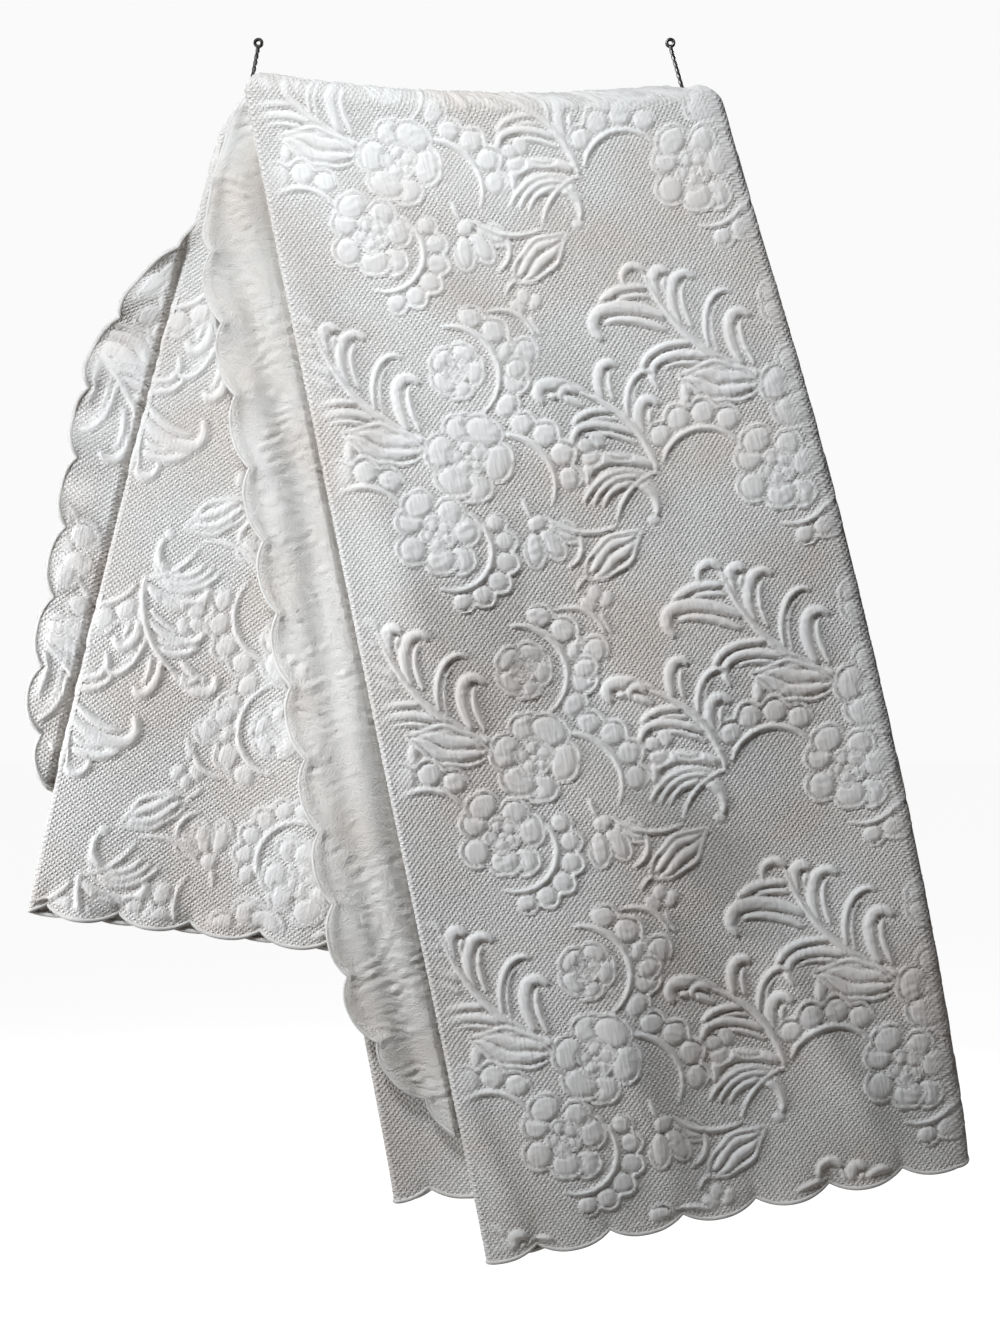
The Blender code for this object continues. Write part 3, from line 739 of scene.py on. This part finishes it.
def swelling(beside, slot, up, wide):
    """0 in the slot beside a fold, then 1, and 0 again further out."""
    return ease((beside - slot) / up) * (1 - ease((beside - wide / 2) / wide))


def swollen_margin(u, x, z, fall):
    """How far the margin stands out beside the show panel's fold."""
    beside = np.interp(-z, *SHOW_RUN) - x
    ripple = RIPPLE * np.sin(math.tau * beside / RIPPLE_PITCH + RIPPLE_BEND * np.sin(z / RIPPLE_LONG))
    rise = SWELL_RISE * swelling(beside, SLOT, SWELL_UP, SWELL_WIDE) * (1 + ripple)
    return rise * ease(fall / SWELL_START) * (u < AT[1])


def swollen_edge(u, x, z, fall):
    """How far the back margin swells up beside the fold of the layer over it."""
    beside = np.interp(-z, *LAYER_RUN) - x
    rise = EDGE_RISE * swelling(beside, EDGE_SLOT, EDGE_UP, EDGE_WIDE)
    return rise * ease((fall - EDGE_START) / EDGE_START) * (u < AT[1])


def tucked(u, fall):
    """How far the free edge and the fold under it move to the right near the rod."""
    share = ease((fall - TUCK_FROM) / TUCK_IN) * (1 - ease((fall - TUCK_TO + TUCK_OUT) / TUCK_OUT))
    free = TUCK * np.clip(1 - u / TUCK_REACH, 0, 1)
    fold = TUCK_FOLD * np.clip(1 - np.abs(u - AT[LAYER_FOLD]) / TUCK_FOLD_REACH, 0, 1)
    return share * (free - fold)


def curled_lobes(u, v, fall):
    """How far the back edge's first lobes curl towards the viewer."""
    lobe = 0.5 + 0.5 * np.sin(math.tau * v / SCALLOP_PITCH + LOBE_PHASE)
    near_edge = np.clip(1 - u / LOBE_REACH, 0, 1) ** 2
    down = ease((fall - LOBE_FROM) / LOBE_IN) * (1 - LOBE_LESS * ease((fall - LESS_FROM) / LESS_IN))
    return LOBE_CURL * lobe * near_edge * down


def hang(u, v, w):
    """Where points of the cloth hang, with the soft folds, swollen margins, tuck and curled lobes."""
    points = drape(u, v, w)
    x, out, z = points.T
    y = ridge_length(u) - v
    fall = np.maximum(np.abs(y) - QUARTER_BEND, 0.0)
    x += np.where(y > 0, tucked(u, fall), 0.0)
    out -= ease((y - FADE) / (2 * FADE)) * (soft_folds(x, z) + swollen_margin(u, x, z, fall))
    out -= np.where(y < 0, curled_lobes(u, v, fall) + swollen_edge(u, x, z, fall), 0.0)
    return points


# %% [markdown]
# Colours are sRGB hex and are turned to the linear values that shaders use. Small functions add the
# nodes, so each material reads as a short recipe.

# %% Material helpers
def linear(code):
    """An sRGB hex colour as a linear RGBA colour."""
    parts = [int(code[i:i + 2], 16) / 255 for i in (1, 3, 5)]
    return (*[c / 12.92 if c <= 0.04045 else ((c + 0.055) / 1.055) ** 2.4 for c in parts], 1.0)


def feed(tree, node, inputs):
    """Sets a node's sockets to values, or links them to other nodes' sockets."""
    for socket, value in dict(inputs).items():
        if isinstance(value, bpy.types.NodeSocket):
            tree.links.new(value, node.inputs[socket])
        else:
            node.inputs[socket].default_value = value


def add(tree, kind, inputs=(), **settings):
    """Adds a node with its settings and feeds it."""
    made = tree.nodes.new("ShaderNode" + kind)
    for name, value in settings.items():
        setattr(made, name, value)
    feed(tree, made, inputs)
    return made


def noise(tree, vector, scale, detail, **more):
    """A noise of this scale and detail."""
    return add(tree, "TexNoise", {"Vector": vector, "Scale": scale, "Detail": detail, **more}).outputs["Fac"]


def blend(tree, share, a, b, how="MIX"):
    """A colour between a and b."""
    return add(tree, "Mix", {0: share, 6: a, 7: b}, data_type="RGBA", blend_type=how).outputs[2]


def remap(tree, value, low, high, start=0.0, end=1.0):
    """A value between start and end, carried over to between low and high."""
    return add(tree, "MapRange", dict(enumerate((value, start, end, low, high)))).outputs[0]


def in_scene(name, data):
    """A new object in the scene."""
    made = bpy.data.objects.new(name, data)
    bpy.context.scene.collection.objects.link(made)
    return made


def new_material(name):
    """An empty material, its node tree and its shader."""
    material = bpy.data.materials.new(name)
    material.use_nodes = True
    return material, material.node_tree, material.node_tree.nodes["Principled BSDF"]


# %% [markdown]
# The cloth is combed cotton double weave, bleached to ivory. Its ground is a fine lattice of slanting
# stitches that scatters light, so it is matt, and its pits are painted a little darker as shade. The
# stuffed motifs are plain weave drawn smooth, so they are paler, with fine gathers where the ground pulls
# them in. Threads are drawn coarser than the real half millimetre, which could not be seen from here.

# %% Woven cotton
LATTICE_PITCH = 0.0043
WAVE_PERIOD = math.tau / 20
THREAD_SPACING = 0.0011
SHOW_BUMP, WRONG_BUMP = 0.0010, 0.0014
IVORY, PAINTED_PIT_SHADE, PUFF_IVORY = "#eae7e2", "#cfc9c1", "#edeae5"
WRONG_IVORY, WARM_PATCH_IVORY = "#e6e2db", "#eddfd6"
WARM_PATCH_SHARE, WARM_PATCH_FROM = 0.5, (0.42, 0.72)
# noise cells in a metre, or in a thread's width
DRIFT_SCALE, GATHER_SCALE, SPECKLE, FELT = 7.0, (260.0, 42.0, 1.0), 0.6, 0.35


def lattice(tree, uv):
    """Slanting stitches that cross each other."""
    stitches = []
    for degrees in (45, -45):
        way = add(tree, "Mapping", {"Vector": uv, "Rotation": (0, 0, math.radians(degrees))}).outputs[0]
        rows = {"Vector": way, "Scale": WAVE_PERIOD / LATTICE_PITCH, "Distortion": 1.2, "Detail": 1.0}
        stitches.append(add(tree, "TexWave", {**rows, "Detail Scale": 2.0}).outputs["Fac"])
    return add(tree, "Math", dict(enumerate(stitches)), operation="MULTIPLY").outputs[0]


def woven_cotton(name, wrong_side=False):
    """Ivory double weave: lattice ground and smooth puffs, or the fuzzy wrong side."""
    material, tree, shader = new_material(name)
    uv = add(tree, "UVMap", uv_map="cloth").outputs["UV"]
    speckle = noise(tree, uv, SPECKLE / THREAD_SPACING, 3.0)
    drift = noise(tree, uv, DRIFT_SCALE, 2.0)
    stretched = add(tree, "Mapping", {"Vector": uv, "Scale": GATHER_SCALE}).outputs[0]
    gathers = noise(tree, stretched, 1.0, 2.0)
    motif = add(tree, "Attribute", attribute_name="motif").outputs["Fac"]
    weave = noise(tree, uv, FELT / THREAD_SPACING, 4.0, Roughness=0.7) if wrong_side else lattice(tree, uv)
    grain = add(tree, "Math", {0: weave, 1: speckle}, operation="ADD").outputs[0]
    lit = linear(WRONG_IVORY if wrong_side else IVORY)
    # painted shade: where the weave and speckle are low, in the pits that the bump makes, the ground is
    # darker
    ground = blend(tree, grain, linear(PAINTED_PIT_SHADE), lit)
    woven = blend(tree, motif, ground, lit if wrong_side else linear(PUFF_IVORY))
    # slow random patches, where the colour is multiplied towards a warmer, pinker ivory
    warm_patches = remap(tree, drift, 0.0, WARM_PATCH_SHARE, *WARM_PATCH_FROM)
    surface = add(tree, "Mix", {0: motif, 2: grain, 3: gathers}, data_type="FLOAT").outputs[0]
    bump = {"Height": surface, "Strength": 1.0, "Distance": WRONG_BUMP if wrong_side else SHOW_BUMP}
    feed(tree, shader, {
        "Base Color": blend(tree, warm_patches, woven, linear(WARM_PATCH_IVORY), "MULTIPLY"),
        "Normal": add(tree, "Bump", bump).outputs[0],
        "Roughness": remap(tree, motif, 0.92, 0.74),
        "Sheen Weight": 0.35 if wrong_side else 0.2,
        "Sheen Roughness": 0.5,
    })
    return material


show_cotton = woven_cotton("ivory double weave cotton")
back_cotton = woven_cotton("wrong side of double weave cotton", wrong_side=True)
print("cloth materials:", show_cotton.name, "and", back_cotton.name)

# %% [markdown]
# The edge is bound over a cord with the same cotton. Drawn tight, its weave is closer and slightly
# brighter. The hanger is drawn steel wire that has darkened and dulled with handling.

# %% Edge cotton and hanger steel
def bound_cotton():
    """Cotton drawn tight over a cord: matt, with fine threads and painted shade between them."""
    material, tree, shader = new_material("bound cotton edge")
    threads = noise(tree, add(tree, "TexCoord").outputs["Object"], 420.0, 3.0)
    bump = {"Height": threads, "Strength": 0.4, "Distance": 0.0005}
    feed(tree, shader, {
        # painted shade: the edge is darker where its threads are low, in the pits of its bump
        "Base Color": blend(tree, threads, linear(PAINTED_PIT_SHADE), linear(PUFF_IVORY)),
        "Normal": add(tree, "Bump", bump).outputs[0],
        "Roughness": 0.88,
        "Sheen Weight": 0.2,
    })
    return material


def drawn_steel():
    """Dark drawn wire: metallic, with fine scratches that spread its highlight."""
    material, tree, shader = new_material("dark drawn steel")
    scratches = noise(tree, add(tree, "TexCoord").outputs["Object"], 900.0, 4.0)
    feed(tree, shader, {
        "Base Color": blend(tree, scratches, linear("#5c5a57"), linear("#8c8984")),
        "Roughness": remap(tree, scratches, 0.28, 0.5),
        "Metallic": 1.0,
    })
    return material


edge_cotton = bound_cotton()
steel = drawn_steel()
for part in ("hanger_rod", "hanger_wire_left", "hanger_wire_right"):
    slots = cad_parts[part].data.materials
    slots.clear()
    slots.append(steel)
print("more materials:", edge_cotton.name, "and", steel.name)

# %% [markdown]
# The cloth is made in pieces of its flat cut, because what shows needs a two millimetre grid and what is
# folded away does not. Each is a bmesh grid whose points are moved to their places in the cut, raised by
# the relief and hung. Rows and columns close up where the cloth bends sharply.

# %% Pieces of the cloth
FINE_STEP, FINE_REACH, GRADE = 0.0012, 0.006, 0.4
BEND_FROM, BEND_TO, BEND_PITCH = 1.12, 1.40, 0.004


def places(start, end, pitch, bends):
    """Places from start to end, closer together near each bend."""
    found = [start]
    while found[-1] < end:
        near = min((abs(found[-1] - at) for at in bends), default=end)
        found.append(found[-1] + min(pitch, FINE_STEP + max(near - FINE_REACH, 0) * GRADE))
    found = np.array(found)
    return start + (found - start) * (end - start) / (found[-1] - start)


def rows_between(start, end, pitch):
    """Rows from start to end, at most BEND_PITCH apart over the rod."""
    stops = sorted({start, end, *(at for at in (BEND_FROM, BEND_TO) if start < at < end)})
    found = []
    for a, b in zip(stops, stops[1:]):
        own = min(pitch, BEND_PITCH) if BEND_FROM <= a < BEND_TO else pitch
        found.append(np.linspace(a, b, max(round((b - a) / own), 1), endpoint=False))
    return np.concatenate([*found, [end]])


def grid_mesh(name, columns, rows, size, z=0.0, flip=False):
    """A flat grid of faces."""
    bm = bmesh.new()
    bmesh.ops.create_grid(bm, x_segments=columns, y_segments=rows, size=size)
    bmesh.ops.translate(bm, verts=bm.verts, vec=(0, 0, z))
    if flip:
        bmesh.ops.reverse_faces(bm, faces=bm.faces)
    mesh = bpy.data.meshes.new(name)
    bm.to_mesh(mesh)
    bm.free()
    return mesh


def finished(name, mesh, material):
    """The smooth shaded object of a mesh."""
    mesh.materials.clear()
    mesh.materials.append(material)
    mesh.polygons.foreach_set("use_smooth", np.ones(len(mesh.polygons), bool))
    mesh.update()
    print(f"{name}: {len(mesh.polygons) * 2} triangles")
    return in_scene(name, mesh)


def cloth_piece(name, pitch, across, along, wrong_side):
    """One piece of the coverlet, from its place in the flat cut."""
    columns, rows = places(*across, pitch, AT[1:-1]), rows_between(*along, pitch)
    cells = len(columns) - 1, len(rows) - 1
    mesh = grid_mesh(name, *cells, 0.5, flip=not wrong_side)
    flat = np.empty(len(mesh.vertices) * 3, np.float32)
    mesh.vertices.foreach_get("co", flat)
    share = flat.reshape(-1, 3)[:, :2].astype(float) + 0.5
    column, row = np.rint(share * cells).astype(int).T
    u, v, depth, rise = cut(columns[column], rows[row])
    w, motif = height(u, v, depth)
    mesh.vertices.foreach_set("co", hang(u, v, w + rise).astype(np.float32).ravel())
    mesh.attributes.new("motif", "FLOAT", "POINT").data.foreach_set("value", motif.astype(np.float32))
    corners = np.empty(len(mesh.loops), np.int32)
    mesh.loops.foreach_get("vertex_index", corners)
    uv = np.stack([u, v], 1)[corners].astype(np.float32)
    mesh.uv_layers.new(name="cloth").data.foreach_set("uv", uv.ravel())
    return finished(name, mesh, back_cotton if wrong_side else show_cotton)


SHOW, INMOST, TUCKED = (1.785, 2.335), (1.195, 1.785), (2.335, CLOTH_WIDTH)
LOW, TURN = 0.7, BEND_TO
IN_FRONT, BEHIND = (0, TURN), (TURN, CLOTH_LENGTH)
PIECES = [
    # name, pitch of its grid, place across and along the cut, and whether its wrong side is out
    ("show_front_lower", 0.0021, SHOW, (0, LOW), False),
    ("show_front_upper", 0.0021, SHOW, (LOW, TURN), False),
    ("show_back", 0.004, SHOW, BEHIND, False),
    ("rod_layer_front", 0.0046, INMOST, IN_FRONT, False),
    ("rod_layer_back", 0.0027, INMOST, BEHIND, False),
    ("middle_front", 0.007, (0.61, 1.195), IN_FRONT, False),
    ("middle_back", 0.009, (0.61, 1.195), BEHIND, False),
    ("margin_front_edge", 0.003, (0, 0.26), IN_FRONT, True),
    ("margin_front_inner", 0.008, (0.26, 0.61), IN_FRONT, True),
    ("margin_back_edge", 0.0029, (0, 0.3), BEHIND, False),
    ("margin_back_inner", 0.009, (0.3, 0.61), BEHIND, False),
    ("tucked_front", 0.008, TUCKED, IN_FRONT, False),
    ("tucked_back", 0.009, TUCKED, BEHIND, False),
]
cloth = [cloth_piece(*row) for row in PIECES]

# %% [markdown]
# The corded edge is one tube round the whole scalloped outline. It is a bevelled curve, which keeps its
# thickness round lobes and folds, turned to a mesh.

# %% Corded edge
CORD_RADIUS = 0.0026
RIM_STEP = 0.002


def rim_walk():
    """Points and inward directions round the cut outline, before the scallops."""
    r, wide, long = CORNER_RADIUS, CLOTH_WIDTH, CLOTH_LENGTH
    quarter = math.pi * r / 2
    found, place = [], 0.0
    sides = [((r, 0), (1, 0), wide - 2 * r), ((wide, r), (0, 1), long - 2 * r),
             ((wide - r, long), (-1, 0), wide - 2 * r), ((0, long - r), (0, -1), long - 2 * r)]
    for (u, v), (du, dv), length in sides:
        inward = np.array([-dv, du], float)
        found += [(u + du * s, v + dv * s, *inward, place + s) for s in np.arange(0, length, RIM_STEP)]
        place += length
        centre = np.array([u + du * length, v + dv * length]) + inward * r
        for s in np.arange(0, quarter, RIM_STEP):
            a = math.atan2(-inward[1], -inward[0]) + s / r
            outward = math.cos(a), math.sin(a)
            found.append((*(centre + r * np.array(outward)), -outward[0], -outward[1], place + s))
        place += quarter
    return np.array(found).T


def corded_edge():
    """The cord in the hem, all the way round the cloth."""
    u, v, inward_u, inward_v, place = rim_walk()
    inset = scallop(place) * scalloped_here(u, v)
    points = hang(u + inward_u * inset, v + inward_v * inset, ruffle(place, 0.0))
    curve = bpy.data.curves.new("corded_edge", "CURVE")
    curve.dimensions = "3D"
    curve.bevel_depth = CORD_RADIUS
    curve.bevel_resolution = 1
    spline = curve.splines.new("POLY")
    spline.points.add(len(points) - 1)
    spline.points.foreach_set("co", np.hstack([points, np.ones((len(points), 1))]).ravel())
    spline.use_cyclic_u = True
    route = in_scene("edge_route", curve)
    mesh = bpy.data.meshes.new_from_object(route.evaluated_get(bpy.context.evaluated_depsgraph_get()))
    bpy.data.objects.remove(route)
    mesh.name = "corded_edge"
    print(f"a cord {place[-1]:.2f} m long")
    return finished("corded_edge", mesh, edge_cotton)


edge = corded_edge()

# %% [markdown]
# Every piece moves with the one body and stands for the plain CAD cloth.

# %% Attach the pieces to the body
for piece in [*cloth, edge]:
    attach(piece, "root")
    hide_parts("coverlet")
for piece, (name, pitch, across, along, wrong_side) in zip(cloth, PIECES):
    size = (across[1] - across[0], along[1] - along[0])
print(f"{len(cloth)} sheets of the cloth declared")

# %% [markdown]
# The stage is a wide pale floor, open on all sides, because a wall would hide the cloth from behind.
# Floor and sky are bright to look at and dim as lights: a bright room would flatten the embossing, which
# only grazing light shows. The key is high on the left, and a weaker light rakes across from the left. A
# warm fill keeps the shade open, and one more light serves the back.

# %% Stage, light and camera
FLOOR_Z, FLOOR_HALF = -1.42, 14.0
PAPER, SKY = "#a3a19e", "#fafafa"
FLOOR_GLOW, SKY_GLOW, AMBIENT = 0.94, 1.0, 0.016
VIEW_FROM, VIEW_LENS = (0.03465, -2.4, -0.68585), 78.55


def seen_glow(tree, dim, bright):
    """bright where something is looked at, dim where it lights other things."""
    return remap(tree, add(tree, "LightPath").outputs["Is Camera Ray"], dim, bright)


def pale_floor():
    """A wide flat floor of matt pale paper, which scatters light without a highlight."""
    mesh = grid_mesh("pale_floor", 1, 1, FLOOR_HALF, z=FLOOR_Z)
    material, tree, shader = new_material("matt pale paper")
    feed(tree, shader, {
        "Base Color": linear(PAPER),
        "Roughness": 0.95,
        "Emission Color": linear("#ffffff"),
        "Emission Strength": seen_glow(tree, 0.0, FLOOR_GLOW),
    })
    mesh.materials.append(material)
    return in_scene("pale_floor", mesh)


def soft_light(name, location, aim, size, power, colour, spread=100):
    """A square softbox that faces a point and isn't seen itself."""
    data = bpy.data.lights.new(name, "AREA")
    data.size, data.energy, data.color = size, power, linear(colour)[:3]
    data.spread = math.radians(spread)
    light = in_scene(name, data)
    light.location = location
    light.visible_camera = False
    x, y, z = (b - a for a, b in zip(location, aim))
    light.rotation_euler = (math.atan2(math.hypot(x, y), -z), 0, math.atan2(-x, y))
    print(f"{name}: {power} W")


pale_floor()
soft_light("key", (-0.58, -1.15, 0.86), (0.10, 0.0, -0.42), 0.50, 10.6, "#f2f8ff")
soft_light("rake", (-1.25, -0.45, -0.72), (-0.10, 0.0, -0.82), 0.40, 4.0, "#f4f8ff")
soft_light("fill", (1.3, -2.6, -1.0), (0.1, 0.0, -0.7), 2.0, 0.5, "#ff8a4c", spread=180)
soft_light("back_key", (1.1, 2.1, 0.8), (0.0, 0.0, -0.6), 0.6, 19.0, "#fbfcff")
world = bpy.data.worlds.new("studio")
world.use_nodes = True
tree = world.node_tree
glow = seen_glow(tree, AMBIENT, SKY_GLOW)
feed(tree, tree.nodes["Background"], {"Color": linear(SKY), "Strength": glow})
scene = bpy.context.scene
scene.world = world
# The Standard view keeps white paper white. The default one greys it, and the ivory with it.
scene.view_settings.view_transform = "Standard"

camera_data = bpy.data.cameras.new("view")
camera_data.sensor_fit = "HORIZONTAL"
camera_data.sensor_width = 36.0
camera_data.lens = VIEW_LENS
camera = in_scene("view", camera_data)
camera.location = VIEW_FROM
camera.rotation_euler = (math.radians(90), 0, 0)
scene.camera = camera
